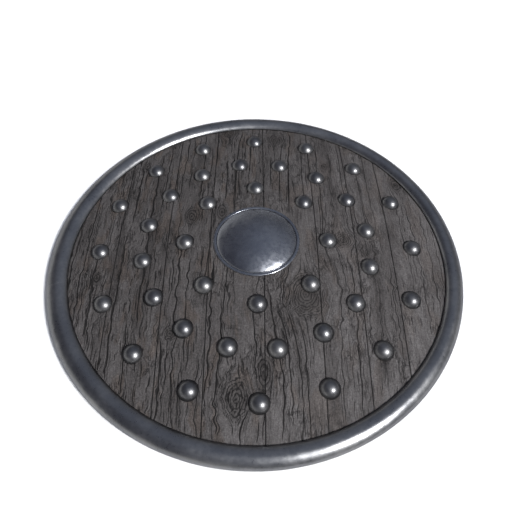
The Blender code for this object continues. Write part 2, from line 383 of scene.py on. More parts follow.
def rim_outline():
    """(radius, height) points: an ellipse outside with a flat foot, round lips, a smaller ellipse inside."""
    inner_width, inner_height = rim_half_width - rim_wall, rim_half_height - rim_wall
    angles = np.linspace(0, math.pi / 2, 2000)
    radii = rim_centre_radius - inner_width * np.cos(angles)
    rise = inner_height * np.sin(angles)
    front = front_height(radii)
    top_lip = angles[np.argmax(rim_middle_height + rise >= front + gap)]
    bottom_lip = math.tau - angles[np.argmax(rim_middle_height - rise <= front - board_depth - gap)]

    def ellipse(angle, width, height):
        out, up = -np.cos(angle), np.sin(angle)
        fall = (1 - np.clip(out, 0, 1) ** rim_shoulder) ** (1 / rim_shoulder)
        up = np.where((out > 0) & (up > 0), fall, up)
        return np.stack((rim_centre_radius + width * out, rim_middle_height + height * up), -1)

    outside = np.concatenate((
        np.linspace(top_lip, 1.5 * math.pi - foot_angle, outer_steps),
        np.linspace(1.5 * math.pi + foot_angle, bottom_lip, outer_steps // 2),
    ))
    inside = np.linspace(bottom_lip, top_lip, inner_steps)
    outer = ellipse(outside, rim_half_width, rim_half_height)
    inner = ellipse(inside, inner_width, inner_height)
    return np.concatenate((outer, round_end(outer[-1], inner[0]), inner, round_end(inner[-1], outer[0])))


def round_end(start, end):
    """Half a circle of points from start to end, which rounds the cut edge of the strip."""
    middle, arm = (start + end) / 2, (start - end) / 2
    turn = np.linspace(0, math.pi, lip_steps + 2)[1:-1, None]
    side = np.array((-arm[1], arm[0]))
    return middle + arm * np.cos(turn) + side * np.sin(turn) * 0.5


outline = rim_outline()
print("rim outline has", len(outline), "points, radii", outline[:, 0].min().round(4), "to",
      outline[:, 0].max().round(4))

# %% Rim mesh
seam_angle = math.radians(191.0)
seam_width = 0.0011
seam_depth = 0.0003
rim_dent = 0.00022
rim_lip_inset = 0.0035


def make_rim():
    """The outline turned about the middle, its inner side drawn over to the shifted board, and dented."""
    seam_turns = seam_angle + np.linspace(-1.5, 1.5, 7) * seam_width / rim_radius
    turn = np.sort(np.concatenate((np.arange(rim_steps) / rim_steps * math.tau, seam_turns)))
    radius, height = outline[None, :, 0], outline[None, :, 1]
    inward = np.clip((rim_radius - radius) / (rim_radius - throat_radius - rim_lip_inset), 0, 1)
    angle = turn[:, None]
    wave = noise(angle * 60 / math.tau, radius * 40, 11) * 0.5 + noise(angle * 22 / math.tau, radius * 25, 12)
    seam = np.clip(1 - np.abs(angle - seam_angle) * rim_radius / seam_width, 0, 1)
    dent = rim_dent * (wave - 1.5) - seam_depth * seam
    high = (height - rim_middle_height) / rim_half_height
    out = (radius - rim_centre_radius) / rim_half_width
    lift = np.clip(high, 0, 1) * dent
    push = np.clip(out, 0, 1) * dent
    x = (radius + push) * np.cos(angle) + board_shift * inward
    y = (radius + push) * np.sin(angle)
    points = np.stack(np.broadcast_arrays(x, y, height + lift), -1).reshape(-1, 3)
    return make_piece("rolled_rim", points, grid_faces(len(turn), len(outline), True, True))


rim = make_rim()
give(rim, rim_steel, "steel", "rim")
print("rim", len(rim.data.polygons), "faces")

# %% [markdown]
# ## Turned pieces
#
# The cap and the nails are round about an axis. A profile of (radius, height) points turned
# about that axis gives them, and a point on the axis closes each pole once its copies are
# merged.

# %% Turning
def turned(profile, steps):
    """Points and faces of a profile turned about Z: each point goes round a circle of its radius."""
    turn = np.arange(steps) / steps * math.tau
    radius, height = profile[None, :, 0], profile[None, :, 1]
    points = np.stack(np.broadcast_arrays(
        radius * np.cos(turn)[:, None], radius * np.sin(turn)[:, None], height), -1)
    return points.reshape(-1, 3), grid_faces(steps, len(profile), rows_wrap=True)


# %% [markdown]
# ## The raised cap
#
# The cap is a low dome of thin sheet with a rolled lip that sits on the wood, over the hole
# for the hand. It is hollow. A few soft dents in the dome, which fade out towards its foot,
# catch the light as on the real one.

# %% Cap
boss_radius = 0.0811
boss_lip_width = 0.0061
boss_cap_radius = boss_radius - boss_lip_width
boss_cap_height = 0.020
boss_cap_foot = 0.0012
boss_lip_height = 0.0026
boss_wall = 0.002
boss_fullness = 0.0009
boss_dent = 0.00025
boss_edge_in, boss_edge_up = 0.0004, 0.0002
boss_steps, dome_steps, boss_lip_steps, under_steps = 192, 44, 12, 20


def dome_height(radius, size, top):
    """Height of a sphere of that size below its top."""
    return top - size + np.sqrt(size ** 2 - radius ** 2)


def boss_profile():
    """Down over the dome, round the lip, in along the seat and back up inside.

    The dome is a sphere that is a little fuller at its shoulder: + fullness * 6.75 * share^4 * (1 - share^2),
    where share is the radius over the dome's own, and 6.75 brings the most to 1."""
    sphere = (boss_cap_radius ** 2 + boss_cap_height ** 2) / (2 * boss_cap_height)
    foot = front_height(boss_cap_radius) + gap + boss_cap_foot
    apex = foot + boss_cap_height
    radius = np.linspace(0, boss_cap_radius, dome_steps)
    share = radius / boss_cap_radius
    fuller = boss_fullness * 6.75 * share ** 4 * (1 - share ** 2)
    dome = np.stack((radius, dome_height(radius, sphere, apex) + fuller), -1)
    seat = front_height(boss_radius) + gap
    turn = np.linspace(math.pi, 0, boss_lip_steps)
    half = boss_lip_width / 2
    lip_middle = boss_cap_radius + half
    rise = boss_lip_height * (0.55 + 0.45 * np.sin(turn))
    lip = np.stack((lip_middle + half * np.cos(turn), seat + rise), -1)
    seat_inner = boss_cap_radius - boss_wall
    inner_foot = front_height(seat_inner) + gap + boss_cap_foot / 2
    under = np.array(((boss_radius, seat + boss_edge_up), (boss_radius - boss_edge_in, seat),
                      (seat_inner, front_height(seat_inner) + gap)))
    inner_height = apex - boss_wall - inner_foot
    inner_sphere = (seat_inner ** 2 + inner_height ** 2) / (2 * inner_height)
    radius = np.linspace(seat_inner, 0, under_steps)
    inside = np.stack((radius, dome_height(radius, inner_sphere, apex - boss_wall)), -1)
    return np.concatenate((dome, lip, under, inside))


def make_boss():
    """The turned cap with soft dents in its dome, less than half as deep as its wall."""
    profile = boss_profile()
    points, faces = turned(profile, boss_steps)
    radius = np.hypot(points[:, 0], points[:, 1])
    on_dome = smooth_step(boss_cap_radius - radius, 0.001, 0.015)
    wave = noise(points[:, 0] / 0.022, points[:, 1] / 0.022, 21) + 0.5 * noise(
        points[:, 0] / 0.009, points[:, 1] / 0.009, 22)
    points[:, 2] += boss_dent * on_dome * (wave - 1.5)
    points[:, 0] += board_shift
    return make_piece("domed_boss", points, faces)


boss = make_boss()
give(boss, boss_steel, "steel", "boss")
print("cap", len(boss.data.polygons), "faces")

# %% [markdown]
# ## The nails
#
# Forty domed nails go through the board in three rings. Each has a domed head in front and
# a small plate behind, over which its end is hammered. The two on the grip's arms are
# longer. Every nail stands square to the sloping board.

# %% Nails
head_radius = 0.0182
head_height = 0.0130
shank_radius = 0.003
plate_radius = 0.007
plate_thickness = 0.0012
plate_crown = 0.001
edge_in, edge_down, head_turn = 0.0004, 0.0003, 0.0002
grip_length = 0.330
grip_arm_width = 0.034
grip_arm_thickness = 0.012
nail_steps, nail_dome_steps = 36, 16
ring_shift = 0.0038
# Each ring: its letter, its radius, how many nails, and how far it is turned.
nail_rings = (
    ("a", boss_radius + 0.055, 8, math.radians(0.78)),
    ("b", 0.6027 * throat_radius, 16, math.radians(9.40)),
    ("c", 0.8401 * throat_radius, 16, math.radians(0.84)),
)


def nail_profile(length):
    """Down over the domed head, in under it, along the shank, round the plate and to its crown."""
    sphere = (head_radius ** 2 + head_height ** 2) / (2 * head_height)
    arc = np.linspace(0, math.asin(head_radius / sphere), nail_dome_steps)
    dome = np.stack((sphere * np.sin(arc), head_height - sphere + sphere * np.cos(arc)), -1)
    rest = np.array((
        (head_radius, -head_turn), (head_radius - edge_in, -edge_down), (shank_radius, 0),
        (shank_radius, -length), (plate_radius - edge_down, -length), (plate_radius, -length - edge_down),
        (plate_radius - edge_in, -length - plate_thickness),
        (0.6 * plate_radius, -length - plate_thickness - 0.7 * plate_crown),
        (0, -length - plate_thickness - plate_crown),
    ))
    return np.concatenate((dome, rest))


def nail_frame(ring_radius, angle):
    """Spot on the board and three axes there: down the slope, along the ring, and out of the face."""
    step = 0.001
    slope = math.atan((front_height(ring_radius - step) - front_height(ring_radius + step)) / (2 * step))
    turn, lean = math.cos(angle), math.sin(angle)
    down = np.array((turn * math.cos(slope), lean * math.cos(slope), -math.sin(slope)))
    along = np.array((-lean, turn, 0))
    out = np.array((turn * math.sin(slope), lean * math.sin(slope), math.cos(slope)))
    spot = np.array((board_shift + ring_radius * turn, ring_radius * lean, front_height(ring_radius)))
    return spot, np.stack((down, along, out))


def make_nails():
    """All nails, and their places for the holes in the wood."""
    places = []
    for letter, ring_radius, count, turn in nail_rings:
        for index in range(count):
            angle = math.pi / 2 + turn + math.tau * index / count
            across, up = ring_radius * math.cos(angle), ring_radius * math.sin(angle) + ring_shift
            spot, axes = nail_frame(math.hypot(across, up), math.atan2(up, across))
            along = abs(spot[0] - board_shift)
            in_grip = abs(spot[1]) < grip_arm_width / 4 and along + plate_radius < grip_length / 2
            length = board_thickness + 2 * gap + (grip_arm_thickness + gap if in_grip else 0)
            points, faces = turned(nail_profile(length), nail_steps)
            nail = make_piece(f"nail_{letter}{index + 1}", (points + (0, 0, gap)) @ axes + spot, faces)
            give(nail, nail_steel, "steel", f"stud_{letter}{index + 1}")
            places.append((spot, axes, length))
    return places


nail_places = make_nails()
print(len(nail_places), "nails")

# %% [markdown]
# ## The lie of the grain
#
# The planks are old and weathered: soft wood has worn away between the hard lines, long
# cracks run along the grain, and both bend round the knots. Water flows round a stone in
# the same way, so the grain's lines are the streamlines of a flow along Y round each knot.
# A streamline's number, u, is the place across the plank that it would have without knots.

# %% Grain field
# Each knot: place across and along, size, how much longer than wide, how speckled its heart is.
knots = (
    (-0.032, -0.292, 0.023, 1.5, 1.0), (0.012, -0.251, 0.013, 2.2, 0.9), (0.088, -0.112, 0.034, 1.25, 0.1),
    (0.167, 0.011, 0.020, 1.0, 0.4), (-0.150, -0.181, 0.013, 1.0, 0.5), (-0.128, 0.067, 0.013, 1.6, 0.6),
    (0.301, 0.183, 0.013, 1.5, 0.8), (0.044, 0.318, 0.015, 1.3, 0.2), (-0.068, 0.072, 0.010, 2.0, 0.5),
    (-0.064, 0.352, 0.016, 1.2, 0.6), (0.148, 0.226, 0.007, 1.6, 0.8), (-0.242, 0.236, 0.007, 1.8, 0.6),
    (0.226, -0.196, 0.008, 1.7, 0.8), (-0.300, -0.060, 0.008, 1.6, 0.6),
)
knot_sizes = np.array([knot[2] for knot in knots])
knot_specks = np.array([knot[4] for knot in knots])
knot_push = 0.8


def grain(x, y):
    """Streamline number u, nearness to a knot (1 at its edge, 0 at its heart), and which knot that is.

    Round a knot of radius k at distance r, u = x - push * (x - knot x) * k^2 / r^2, as in a flow
    round a cylinder, with y squeezed by the knot's own length."""
    u = x + 0.003 * noise(x / 0.11, y / 0.33, 31) + 0.0006 * noise(x / 0.03, y / 0.06, 32)
    nearest = np.full(np.broadcast(x, y).shape, 99.0)
    which = np.zeros(nearest.shape, int)
    wobble = 1 + 0.15 * noise(x / 0.012, y / 0.012, 33)
    for index, (knot_x, knot_y, size, aspect, _) in enumerate(knots):
        away_x, away_y = x - knot_x, (y - knot_y) / aspect
        share = np.maximum(np.hypot(away_x, away_y) * wobble, 1e-5) / size
        u = u - knot_push * away_x * np.minimum(1, 1 / share ** 2)
        which = np.where(share < nearest, index, which)
        nearest = np.minimum(nearest, share)
    return u, nearest, which


# %% [markdown]
# ## Cracks and wear
#
# Cracks are drawn as strokes on a canvas: an array over u and y that holds a depth. A
# stroke runs along y, wanders a little and thins out at both ends. Because the canvas is
# looked up by u, each stroke bends round the knots by itself. The long cracks stand where
# the photograph shows them, and thousands of shorter ones fill the face between them.

# %% Canvas
canvas_half = 0.40
canvas_across, canvas_along = 0.0003, 0.0010
canvas = np.zeros([int(2 * canvas_half / step) + 1 for step in (canvas_along, canvas_across)])
# Each bend of a stroke: its length, its share of the wandering, its seed.
stroke_bends = ((0.16, 1.4, 45), (0.05, 0.4, 41), (0.007, 0.15, 42))


def draw_stroke(number, place, start, end, width, deep, wander, lean=0.0):
    """Deepen the canvas along one path: place + lean * (y - middle) + wandering noise, parabolic across."""
    low, high = (int((y + canvas_half) / canvas_along) for y in (start, end))
    rows = np.arange(max(low, 0), min(high, len(canvas) - 1) + 1)[:, None]
    y = rows * canvas_along - canvas_half
    share = np.clip((y - start) / max(end - start, 1e-6), 0, 1)
    path = place + lean * (y - (start + end) / 2)
    bends = (part * noise(y / size, number + 0.5, seed) for size, part, seed in stroke_bends)
    path = path + wander * sum(bends)
    uneven = 0.8 + 0.35 * noise(y / 0.02, number + 0.5, 43)
    taper = np.minimum(1, 6 * share) * np.minimum(1, 6 * (1 - share)) * uneven
    half = np.maximum(width / 2 * np.sqrt(np.maximum(taper, 0)), 1e-6)
    reach = int((0.75 * width) / canvas_across) + 1
    columns = np.floor((path + canvas_half) / canvas_across).astype(int) + np.arange(-reach, reach + 1)
    columns = np.clip(columns, 0, canvas.shape[1] - 1)
    away = np.abs(columns * canvas_across - canvas_half - path) / half
    depth = deep * np.sqrt(np.maximum(taper, 0)) * np.clip(1 - away ** 2, 0, 1)
    canvas[rows, columns] = np.maximum(canvas[rows, columns], depth)


def look_up(u, y):
    """Depth on the canvas at u and y, a straight-line mix of the four cells around the point."""
    row = np.clip((y + canvas_half) / canvas_along, 0, canvas.shape[0] - 1.001)
    column = np.clip((u + canvas_half) / canvas_across, 0, canvas.shape[1] - 1.001)
    low, left = row.astype(int), column.astype(int)
    up, right = row - low, column - left
    near = canvas[low, left] * (1 - right) + canvas[low, left + 1] * right
    far = canvas[low + 1, left] * (1 - right) + canvas[low + 1, left + 1] * right
    return near * (1 - up) + far * up


print("canvas", canvas.shape)

# %% Long cracks
# Each crack: place across, start and end along the grain, width, depth, all in metres.
cracks = (
    (-0.346, -0.10, 0.12, 0.0015, 0.0011), (-0.323, -0.18, 0.17, 0.0016, 0.0012),
    (-0.297, -0.20, 0.02, 0.0014, 0.0010), (-0.250, -0.26, 0.03, 0.0020, 0.0015),
    (-0.242, 0.06, 0.26, 0.0018, 0.0014), (-0.222, -0.30, -0.15, 0.0015, 0.0011),
    (-0.205, -0.17, 0.28, 0.0020, 0.0014), (-0.186, 0.05, 0.33, 0.0014, 0.0010),
    (-0.154, -0.33, -0.19, 0.0018, 0.0013), (-0.150, 0.10, 0.34, 0.0014, 0.0010),
    (-0.133, -0.33, 0.03, 0.0016, 0.0012), (-0.115, -0.24, -0.03, 0.0013, 0.0010),
    (-0.110, 0.12, 0.36, 0.0016, 0.0012), (-0.070, -0.33, -0.02, 0.0015, 0.0012),
    (-0.051, -0.35, -0.12, 0.0017, 0.0013), (-0.040, 0.10, 0.36, 0.0013, 0.0010),
    (-0.014, 0.16, 0.37, 0.0013, 0.0009), (0.036, -0.36, -0.08, 0.0016, 0.0012),
    (0.050, 0.10, 0.36, 0.0014, 0.0011), (0.050, -0.34, -0.12, 0.0014, 0.0011),
    (0.067, 0.07, 0.36, 0.0020, 0.0015), (0.067, -0.36, -0.06, 0.0014, 0.0011),
    (0.078, -0.36, -0.15, 0.0014, 0.0011), (0.095, 0.06, 0.33, 0.0015, 0.0012),
    (0.128, -0.07, 0.34, 0.0018, 0.0013), (0.135, -0.35, -0.02, 0.0017, 0.0013),
    (0.151, -0.20, 0.30, 0.0013, 0.0010), (0.165, -0.34, -0.02, 0.0021, 0.0016),
    (0.176, 0.05, 0.32, 0.0016, 0.0013), (0.212, -0.31, 0.27, 0.0015, 0.0011),
    (0.229, -0.05, 0.29, 0.0014, 0.0010), (0.241, -0.29, -0.02, 0.0017, 0.0012),
    (0.281, -0.12, 0.22, 0.0014, 0.0011), (0.302, -0.20, 0.16, 0.0016, 0.0012),
    (0.326, -0.15, 0.12, 0.0015, 0.0011), (0.344, -0.10, 0.08, 0.0014, 0.0010),
    (-0.060, 0.10, 0.25, 0.0013, 0.0009), (0.005, -0.36, -0.09, 0.0013, 0.0010),
)
crack_wander = 0.0016
for number, (place, start, end, width, deep) in enumerate(cracks):
    strength = 1.85 - 0.75 * smooth_step(place, 0.0, 0.15)
    draw_stroke(number, place, start, end, strength * width, strength * deep, crack_wander)
print(len(cracks), "long cracks")

# %% Short cracks
# Each kind: how many, shortest and longest, thinnest and widest, shallowest and deepest, wandering, lean.
stroke_kinds = (
    (130, 0.060, 0.160, 0.0013, 0.0020, 0.0008, 0.0014, 0.0014, 0.01),
    (850, 0.020, 0.060, 0.0012, 0.0019, 0.0006, 0.0013, 0.0010, 0.03),
    (3200, 0.006, 0.022, 0.0011, 0.0019, 0.0006, 0.0013, 0.0008, 0.10),
    (1300, 0.003, 0.010, 0.0011, 0.0017, 0.0005, 0.0011, 0.0004, 1.4),
)
crowding = 0.55
crack_reach = 0.37
# Cracks in a knot: how many, width, depth, wandering.
knot_cracks, knot_width, knot_depth, knot_wander = 9, 0.0011, 0.0009, 0.0004
draw = np.random.default_rng(77)
number = len(cracks)
for count, short, long, thin, wide, shallow, deep, wander, lean in stroke_kinds:
    places, middles = draw.uniform(-crack_reach, crack_reach, (2, count))
    patchy = noise(places / 0.05, middles / 0.09, 44) * (1 if short < 0.02 else 0.3)
    kept = 0.5 + patchy - 0.3 * places + 0.25 * middles > draw.uniform(0, crowding, count)
    sizes = draw.uniform((short, thin, shallow, -lean), (long, wide, deep, lean), (count, 4))
    sizes[:, 1:3] *= 1.1 - 0.25 * smooth_step(places, -0.05, 0.15)[:, None]
    for place, middle, (length, width, depth, tilt) in zip(places[kept], middles[kept], sizes[kept]):
        draw_stroke(number, place, middle - length / 2, middle + length / 2, width, depth, wander, tilt)
        number += 1
for knot_x, knot_y, size, aspect, _ in knots:
    for place in knot_x + size * draw.uniform(-0.9, 0.9, knot_cracks):
        half = aspect * size * draw.uniform(2.5, 5.0) / 2
        middle = knot_y + size * draw.uniform(-0.6, 0.6)
        draw_stroke(number, place, middle - half, middle + half, knot_width, knot_depth, knot_wander)
        number += 1
print(number, "strokes in all, on", round(float((canvas > 0.0002).mean()) * 100, 1), "% of the canvas")

# %% [markdown]
# ## The worn face
#
# Between the cracks, soft wood has worn into fine furrows, splinters have come off and left
# small steps, and the knots stand in rings. All of this lies at or below the plank's face,
# so that the cap and the nails still sit on it.

# %% Relief
ring_spacing = 0.0042
# Each hollow: place across, start and end along the grain, half width, depth.
hollows = (
    (-0.200, -0.20, 0.20, 0.009, 0.0014), (0.208, -0.28, 0.02, 0.010, 0.0014),
    (0.245, -0.24, 0.08, 0.012, 0.0013), (-0.262, -0.14, 0.14, 0.008, 0.0010),
    (0.118, -0.34, -0.14, 0.008, 0.0010), (-0.092, -0.34, -0.20, 0.007, 0.0009),
    (0.150, 0.10, 0.32, 0.009, 0.0010), (-0.118, 0.14, 0.34, 0.008, 0.0010),
)
hollow_fade = 0.05
crack_full_depth = 0.0011
ring_depth, speckle_depth = 0.0008, 0.0009
furrow_depth, splinter_depth = 0.0003, 0.0005


def splinters(u, y, across, along, seed):
    """Height steps from 0 to 1 with crisp edges: noise stretched along y and cut into levels."""
    field = noise(u / across, y / along, seed) + 0.3 * noise(u / across * 3, y / along * 4, seed + 1)
    return np.clip(np.floor((field + 0.8) * 2.5), 0, 4) / 4


def relief(x, y):
    """Depth below the plank's face, how deep in a crack (0 to 1), u, and nearness to a knot."""
    u, near, which = grain(x, y)
    reach = near * knot_sizes[which]
    depth = look_up(u, y) * smooth_step(near, 0.75, 1.15)
    turn = reach / ring_spacing * math.tau + 1.6 * noise(x / 0.006, y / 0.006, 64)
    rings = smooth_step(np.sin(turn), 0.1, 1.0)
    inside = 1 - smooth_step(near, 0.90, 1.30)
    speckle = smooth_step(noise(x / 0.0025, y / 0.0035, 66), 0.1, 0.7)
    speckle = speckle * knot_specks[which] * (1 - smooth_step(near, 0.6, 0.9))
    depth = np.maximum(depth, (ring_depth * rings + speckle_depth * speckle) * inside)
    # How deep a point lies in a crack or knot ring, 0 to 1: the material paints it near black, as dirt and
    # painted shade.
    cavity = np.clip(depth / crack_full_depth, 0, 1)
    furrow = 0.5 - 0.5 * noise(u / 0.0024, y / 0.03, 61)
    depth = depth + furrow_depth * furrow + splinter_depth * splinters(u, y, 0.007, 0.035, 65)
    for place, start, end, width, deep in hollows:
        taper = smooth_step(y, start, start + hollow_fade) * (1 - smooth_step(y, end - hollow_fade, end))
        depth = depth + deep * taper * np.exp(-((u - place) / width) ** 2)
    return depth, cavity, u, near


trial = relief(np.linspace(-0.3, 0.3, 5), np.zeros(5))
print("depth at five places, mm", (trial[0] * 1000).round(2))

# %% [markdown]
# ## The planks
#
# A plank is a strip of the dish between two joints. Its front grid is fine across, because
# cracks are narrow, and coarser along, because they are long. The rows spread over the
# chord that the plank takes from the round board. The back is a coarser grid of the same
# shape, and narrow walls join their edges.

# %% Plank mesh
joint_shares = (-0.7145, -0.4499, -0.2329, 0.0370, 0.3017, 0.5028, 0.6880)
column_step, row_step = 0.00072, 0.0022
column_thin, row_thin = 4, 4
edge_round, edge_reach = 0.0010, 0.0015
edge_columns, edge_strip = np.array((0, 0.0003, 0.0008, 0.0012)), 0.0017
sawn_depth = 0.0003
board_end_gap = 0.0002


def spaced(left, right):
    """Columns less than a millimetre apart, closer at both edges, a multiple of four between the ends."""
    count = int((right - left) / column_step / column_thin) * column_thin - 2 * len(edge_columns) + 1
    inner = np.linspace(left + edge_strip, right - edge_strip, count)
    return np.concatenate((left + edge_columns, inner, right - edge_columns[::-1]))


def wall(fine, coarse, step):
    """Faces between a finely divided edge and a coarse one that has every few of its points."""
    return [
        [*fine[place * step:place * step + step + 1][::-1], coarse[place], coarse[place + 1]]
        for place in range(len(coarse) - 1)
    ]


def make_plank(index, left, right):
    """Closed plank: a fine grid with relief in front, a coarse plainer one behind, walls between them."""
    x = spaced(left, right)
    chord = np.sqrt(np.maximum(board_radius ** 2 - x ** 2, 0)) + 1e-5
    rows = int(2 * chord.max() / row_step / row_thin) * row_thin + 1
    x_grid = np.broadcast_to(x, (rows, len(x)))
    y_grid = np.linspace(-1, 1, rows)[:, None] * chord[None, :]
    edge = np.minimum(x_grid - left, right - x_grid)
    rounded = edge_round * (1 - np.clip(edge / edge_reach, 0, 1)) ** 2
    height = front_height(np.hypot(x_grid, y_grid))
    front = np.stack((x_grid + board_shift, y_grid, height - relief(x_grid, y_grid)[0] - rounded), -1)
    sawn = sawn_depth * (0.5 + 0.5 * noise(x_grid / 0.012, y_grid / 0.10, 71)) + rounded
    back = np.stack((x_grid + board_shift, y_grid, height - board_depth + sawn), -1)
    back = back[::row_thin, ::column_thin]
    count = front.shape[0] * front.shape[1]
    fine = np.arange(count).reshape(front.shape[:2])
    coarse = count + np.arange(back.shape[0] * back.shape[1]).reshape(back.shape[:2])
    faces = grid_faces(*front.shape[:2]).tolist()
    faces += grid_faces(*back.shape[:2], start=count)[:, ::-1].tolist()
    for turns, step in enumerate((column_thin, row_thin) * 2):
        faces += wall(np.rot90(fine, turns)[0], np.rot90(coarse, turns)[0], step)
    points = np.concatenate((front.reshape(-1, 3), back.reshape(-1, 3)))
    return make_piece(f"board_plank_{index}", points, faces, tidy=False)


board_end = board_radius - board_end_gap
edges = [-board_end, *(share * board_radius for share in joint_shares), board_end]
planks = [
    make_plank(index + 1, left + gap / 2, right - gap / 2)
    for index, (left, right) in enumerate(zip(edges, edges[1:]))
]
print("planks", [len(plank.data.polygons) for plank in planks], "faces")

# %% [markdown]
# ## The grip
#
# Behind the hand hole a wooden bar crosses the board. Its handle is thick and rounded, and
# its arms thin out to lie flat on the planks, where two of the nails hold them. The
# photograph doesn't show it, so it is plain. Its section is a rounded box that changes
# along the bar.

# %% Grip mesh
grip_handle_length = 0.100
grip_handle_width = 0.030
grip_handle_depth = 0.028
grip_chamfer = 0.004
grip_seat_chamfer = 0.001
grip_end_round, grip_end_in, grip_end_up = 0.003, 0.002, 0.0015
section_steps, grip_steps = 10, 150


def grip_blend(along):
    """0 on the handle and 1 on the arms, with a smooth S between."""
    arm_start = max(hand_hole_radius, grip_handle_length / 2 + grip_chamfer)
    reach = arm_start + grip_arm_width / 2 - grip_handle_length / 2
    return smooth_step((np.abs(along) - grip_handle_length / 2) / reach, 0, 1)


def make_grip():
    """Rounded box sections along X, wide and thin on the arms, narrow and deep on the handle."""
    along = np.linspace(-grip_length / 2, grip_length / 2, grip_steps)[:, None]
    blend = grip_blend(along)
    half = (grip_handle_width + (grip_arm_width - grip_handle_width) * blend) / 2
    depth = grip_handle_depth + (grip_arm_thickness / math.cos(board_slope) - grip_handle_depth) * blend
    seat = np.hypot(np.maximum(np.abs(along), hand_hole_radius), half)
    top = front_height(seat) - board_depth - gap
    bottom = top - depth
    inner = smooth_step(grip_length / 2 - np.abs(along), -0.0005, grip_end_round)
    upper = grip_chamfer + (grip_seat_chamfer - grip_chamfer) * blend
    lower = grip_chamfer * 1.4
    turn = np.linspace(0, math.pi / 2, section_steps)[None, :]
    half, bottom = half - grip_end_in * (1 - inner), bottom + grip_end_up * (1 - inner)
    across, height = [], []
    for quarter, (side, up) in enumerate(((1, 1), (-1, 1), (-1, -1), (1, -1))):
        angle = turn + quarter * math.pi / 2
        level, size = (top, upper) if up > 0 else (bottom, lower)
        across.append(side * (half - size) + size * np.cos(angle))
        height.append(level - up * size + size * np.sin(angle))
    across, height = np.concatenate(across, axis=1), np.concatenate(height, axis=1)
    x = np.broadcast_to(along + board_shift, across.shape)
    points = np.stack((x, across, height), -1).reshape(-1, 3)
    loop = across.shape[1]
    faces = grid_faces(grip_steps, loop, columns_wrap=True).tolist()
    for tip in (0, grip_steps - 1):
        ring = tip * loop + np.arange(loop)
        faces += np.stack((ring, np.roll(ring, -1), np.full(loop, len(points))), -1).tolist()
        points = np.vstack((points, (x[tip, 0], 0, height[tip].mean())))
    return make_piece("hand_grip", points, faces)


grip = make_grip()
print("grip", len(grip.data.polygons), "faces")

# %% [markdown]
# ## Drilling
#
# The planks have holes for the nails, and the middle ones share the hole for the hand. One
# cutter holds all of these drills, and a Boolean modifier takes it away from each plank
# before its finish is put on. The grip stays whole: two nails run through it unseen.

# %% Drills
drill_radius = shank_radius + 0.0004
hand_drill_low, hand_drill_high = -0.02, 0.2
hand_drill_steps, nail_drill_steps = 96, 20
sharp_edge = math.radians(50)


def tube(radius, low, high, steps):
    """A closed cylinder along Z as a turned profile."""
    return turned(np.array(((0, high), (radius, high), (radius, low), (0, low))), steps)


def make_drills():
    """The hand hole's cylinder and one thin cylinder for each nail, as one mesh."""
    points, faces = tube(hand_hole_radius, hand_drill_low, hand_drill_high, hand_drill_steps)
    all_points, all_faces = points + (board_shift, 0, 0), faces
    for spot, axes, length in nail_places:
        points, faces = tube(drill_radius, -length - head_height, head_height, nail_drill_steps)
        all_faces = np.concatenate((all_faces, faces + len(all_points)))
        all_points = np.concatenate((all_points, points @ axes + spot))
    made = make_piece("drills", all_points, all_faces)
    made.hide_render = True
    return made


def drill(piece, tool):
    """Take the tool's bodies away from a piece and keep the result as its mesh."""
    modifier = piece.modifiers.new("drilled", "BOOLEAN")
    modifier.operation = "DIFFERENCE"
    modifier.object = tool
    modifier.solver = "MANIFOLD"
    graph = bpy.context.evaluated_depsgraph_get()
    mesh = bpy.data.meshes.new_from_object(piece.evaluated_get(graph))
    piece.modifiers.clear()
    old, piece.data = piece.data, mesh
    bpy.data.meshes.remove(old)
    mesh.name = piece.name
    mesh.shade_smooth()
    mesh.set_sharp_from_angle(angle=sharp_edge)


drills = make_drills()
for plank in planks:
    drill(plank, drills)
bpy.data.objects.remove(drills)
print("drilled planks", [len(plank.data.polygons) for plank in planks], "faces")

# %% [markdown]
# ## Weathered wood
#
# The colour is worked out in the material, but it has to follow the same grain as the
# shape. So each plank's mesh carries that grain as an attribute: the streamline number u,
# the place along the plank, and the nearness to a knot. Two more say how deep a point lies
# in a crack and how deep it lies below the face. The material paints both darker: cracks as
# dirt and painted shade, deep wood as weathered brown and painted shade. Stretched noise
# on them gives fibres, streaks and stains.

# %% Grain attributes
# How far a plank's edge is darkened, and the depth below the face at which the painted shade of deep wood is
# full.
dark_edge = 0.0016
worn_shade_depth = 0.0009


def carry_grain(piece, left, right):
    """Store u, y and knot nearness as a vector, and crack depth and depth below the face from 0 to 1, which
    the material paints as shade, at each point.
    """
    flat = np.empty(len(piece.data.vertices) * 3)
    piece.data.vertices.foreach_get("co", flat)
    x, y, _ = flat.reshape(-1, 3).T - np.array(((board_shift,), (0,), (0,)))
    depth, cavity, u, near = relief(x, y)
    # Plank edges at the joints are darkened the same way: dark joints, and painted shade in the gap between
    # planks.
    cavity = np.maximum(cavity, 1 - np.clip(np.minimum(x - left, right - x) / dark_edge, 0, 1))
    for name, kind, key, values in (
        ("grain", "FLOAT_VECTOR", "vector", np.stack((u, y, np.minimum(near, 4)), -1).ravel()),
        ("cavity", "FLOAT", "value", cavity), ("worn", "FLOAT", "value", np.clip(depth / worn_shade_depth, 0, 1)),
    ):
        piece.data.attributes.new(name, kind, "POINT").data.foreach_set(key, values)


for plank, left, right in zip(planks, edges, edges[1:]):
    carry_grain(plank, left, right)
print("grain on", sum(len(plank.data.vertices) for plank in planks), "points")

# %% Wood material
wood_tones = (
    (0.14, (0.016, 0.014, 0.0135)), (0.38, (0.046, 0.041, 0.040)), (0.58, (0.073, 0.0665, 0.0655)),
    (0.80, (0.108, 0.100, 0.099)), (1.0, (0.155, 0.146, 0.145)),
)
wood_grain_height = 0.0022
warm_filter = (1.0, 0.88, 0.78)
# The knot's heart is its own dark colour. The next three are painted shade in deep wood, along curled lines
# and in cracks, mixed with weathered brown and dirt.
knot_heart, worn_brown_shade = (0.024, 0.020, 0.018), (0.020, 0.016, 0.015)
curl_shadow, crack_black = (0.012, 0.010, 0.010), (0.006, 0.005, 0.005)


